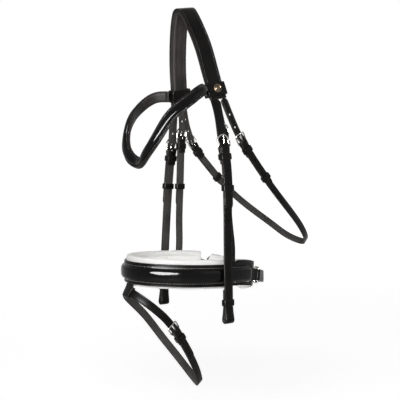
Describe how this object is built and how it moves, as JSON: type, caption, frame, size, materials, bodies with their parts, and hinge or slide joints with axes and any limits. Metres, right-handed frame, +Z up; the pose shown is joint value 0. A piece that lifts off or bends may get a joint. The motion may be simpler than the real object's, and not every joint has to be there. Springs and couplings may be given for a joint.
{
  "type": "bridle",
  "caption": "Leather bridle with a shaped padded headpiece, curved browband, padded crank noseband with flash strap, cheekpieces and throatlash.",
  "frame": {"origin": "middle of the underside of the crown padding, where the bridle rests on the horse's poll or on a hook", "axes": "+Z up, -X towards the horse's nose, -Y the horse's left side"},
  "size_m": [0.3883, 0.1952, 0.6236],
  "materials": {
    "black_leather": "smooth black bridle leather with burnished edges",
    "patent_leather": "glossy black patent leather over a raised core",
    "soft_grey_leather": "soft matt dark grey lining leather over foam",
    "white_padding": "soft white lining leather over foam",
    "bright_steel": "polished stainless steel"
  },
  "bodies": {
    "headpiece": {"crown_leather": "black_leather", "crown_padding": "soft_grey_leather"},
    "browband": {"browband_base": "black_leather", "browband_roll": "patent_leather", "browband_lining": "soft_grey_leather", "browband_loop_left": "black_leather", "browband_loop_right": "black_leather", "browband_stud_left": "bright_steel", "browband_stud_right": "bright_steel"},
    "cheekpiece_left": {"cheek_billet_left": "black_leather", "cheek_strap_left": "black_leather", "cheek_buckle_frame_left": "bright_steel", "cheek_keeper_left": "black_leather", "bit_keeper_left": "black_leather", "hook_stud_left": "bright_steel"},
    "cheekpiece_right": {"cheek_billet_right": "black_leather", "cheek_strap_right": "black_leather", "cheek_buckle_frame_right": "bright_steel", "cheek_keeper_right": "black_leather", "bit_keeper_right": "black_leather", "hook_stud_right": "bright_steel"},
    "cheek_tongue_left": {"cheek_buckle_tongue_left": "bright_steel"},
    "cheek_tongue_right": {"cheek_buckle_tongue_right": "bright_steel"},
    "cheek_slider_left": {"cheek_runner_left": "black_leather"},
    "cheek_slider_right": {"cheek_runner_right": "black_leather"},
    "noseband": {"hanger_billet_left": "black_leather", "hanger_billet_right": "black_leather", "hanger_strap_left": "black_leather", "hanger_strap_right": "black_leather", "hanger_buckle_frame_left": "bright_steel", "hanger_buckle_frame_right": "bright_steel", "noseband_base": "black_leather", "noseband_roll": "patent_leather", "noseband_padding": "white_padding", "crank_ring_left": "bright_steel", "crank_ring_right": "bright_steel", "crank_strap": "black_leather", "crank_buckle_frame": "bright_steel", "crank_keeper": "black_leather", "chin_backing": "black_leather", "chin_padding": "white_padding"},
    "hanger_tongue_left": {"hanger_buckle_tongue_left": "bright_steel"},
    "hanger_tongue_right": {"hanger_buckle_tongue_right": "bright_steel"},
    "hanger_slider_left": {"hanger_runner_left": "black_leather"},
    "hanger_slider_right": {"hanger_runner_right": "black_leather"},
    "crank_tongue": {"crank_buckle_tongue": "bright_steel"},
    "flash": {"flash_loop": "black_leather", "flash_strap": "black_leather", "flash_buckle_frame": "bright_steel", "flash_keeper": "black_leather"},
    "flash_tongue": {"flash_buckle_tongue": "bright_steel"},
    "throatlash": {"throat_billet_left": "black_leather", "throat_billet_right": "black_leather", "throatlash_strap": "black_leather", "throat_buckle_frame_left": "bright_steel", "throat_buckle_frame_right": "bright_steel"},
    "throat_tongue_left": {"throat_buckle_tongue_left": "bright_steel"},
    "throat_tongue_right": {"throat_buckle_tongue_right": "bright_steel"},
    "throat_slider_left": {"throat_runner_left": "black_leather"},
    "throat_slider_right": {"throat_runner_right": "black_leather"}
  },
  "joints": [
    {"name": "browband_tilt", "type": "hinge", "parent": "headpiece", "child": "browband", "pos_m": [0.02573, 0, -0.126], "axis": [0, 1, 0], "range_deg": [-4, 4]},
    {"name": "cheekpiece_swing_left", "type": "hinge", "parent": "headpiece", "child": "cheekpiece_left", "pos_m": [0.02074, -0.05738, -0.14308], "axis": [-0.9836, 0.005, -0.1802], "range_deg": [0, 55]},
    {"name": "cheekpiece_swing_right", "type": "hinge", "parent": "headpiece", "child": "cheekpiece_right", "pos_m": [0.02074, 0.05738, -0.14308], "axis": [0.9836, 0.005, 0.1802], "range_deg": [0, 55]},
    {"name": "noseband_swing", "type": "hinge", "parent": "headpiece", "child": "noseband", "pos_m": [0.03009, 0, -0.14908], "axis": [0, 1, 0], "range_deg": [-4, 14]},
    {"name": "throatlash_swing", "type": "hinge", "parent": "headpiece", "child": "throatlash", "pos_m": [0.03995, 0, -0.14573], "axis": [0, -1, 0], "range_deg": [0, 30]},
    {"name": "flash_swing", "type": "hinge", "parent": "noseband", "child": "flash", "pos_m": [-0.101, 0, -0.4319], "axis": [0, 1, 0], "range_deg": [-10, 25]},
    {"name": "cheek_tongue_lift_left", "type": "hinge", "parent": "cheekpiece_left", "child": "cheek_tongue_left", "pos_m": [0.02501, -0.07302, -0.22008], "axis": [0.9987, -0.0284, 0.0429], "range_deg": [0, 8]},
    {"name": "cheek_tongue_lift_right", "type": "hinge", "parent": "cheekpiece_right", "child": "cheek_tongue_right", "pos_m": [0.02501, 0.07302, -0.22008], "axis": [-0.9987, -0.0284, -0.0429], "range_deg": [0, 8]},
    {"name": "cheek_runner_slide_left", "type": "slide", "parent": "cheekpiece_left", "child": "cheek_slider_left", "axis": [-0.0272, -0.0883, -0.9957], "range_m": [-0.006, 0.006]},
    {"name": "cheek_runner_slide_right", "type": "slide", "parent": "cheekpiece_right", "child": "cheek_slider_right", "axis": [-0.0272, 0.0883, -0.9957], "range_m": [-0.006, 0.006]},
    {"name": "hanger_tongue_lift_left", "type": "hinge", "parent": "noseband", "child": "hanger_tongue_left", "pos_m": [0.03671, -0.05872, -0.19863], "axis": [0.999, 0.0129, 0.0419], "range_deg": [0, 8]},
    {"name": "hanger_tongue_lift_right", "type": "hinge", "parent": "noseband", "child": "hanger_tongue_right", "pos_m": [0.03671, 0.05872, -0.19863], "axis": [-0.999, 0.0129, -0.0419], "range_deg": [0, 8]},
    {"name": "hanger_runner_slide_left", "type": "slide", "parent": "noseband", "child": "hanger_slider_left", "axis": [0.0059, -0.0719, -0.9974], "range_m": [-0.006, 0.006]},
    {"name": "hanger_runner_slide_right", "type": "slide", "parent": "noseband", "child": "hanger_slider_right", "axis": [0.0059, 0.0719, -0.9974], "range_m": [-0.006, 0.006]},
    {"name": "crank_tongue_lift", "type": "hinge", "parent": "noseband", "child": "crank_tongue", "pos_m": [0.15549, 0.0176, -0.44111], "axis": [0.0482, -0.1252, 0.991], "range_deg": [0, 8]},
    {"name": "flash_tongue_lift", "type": "hinge", "parent": "flash", "child": "flash_tongue", "pos_m": [-0.03951, -0.03473, -0.50646], "axis": [0.79, 0.0058, 0.6131], "range_deg": [0, 8]},
    {"name": "throat_tongue_lift_left", "type": "hinge", "parent": "throatlash", "child": "throat_tongue_left", "pos_m": [0.06925, -0.06703, -0.21083], "axis": [0.8119, -0.0016, 0.5839], "range_deg": [0, 8]},
    {"name": "throat_tongue_lift_right", "type": "hinge", "parent": "throatlash", "child": "throat_tongue_right", "pos_m": [0.06925, 0.06703, -0.21083], "axis": [-0.8119, -0.0016, -0.5839], "range_deg": [0, 8]},
    {"name": "throat_runner_slide_left", "type": "slide", "parent": "throatlash", "child": "throat_slider_left", "axis": [0.7052, 0.0566, -0.7068], "range_m": [-0.006, 0.006]},
    {"name": "throat_runner_slide_right", "type": "slide", "parent": "throatlash", "child": "throat_slider_right", "axis": [0.7052, -0.0566, -0.7068], "range_m": [-0.006, 0.006]}
  ]
}
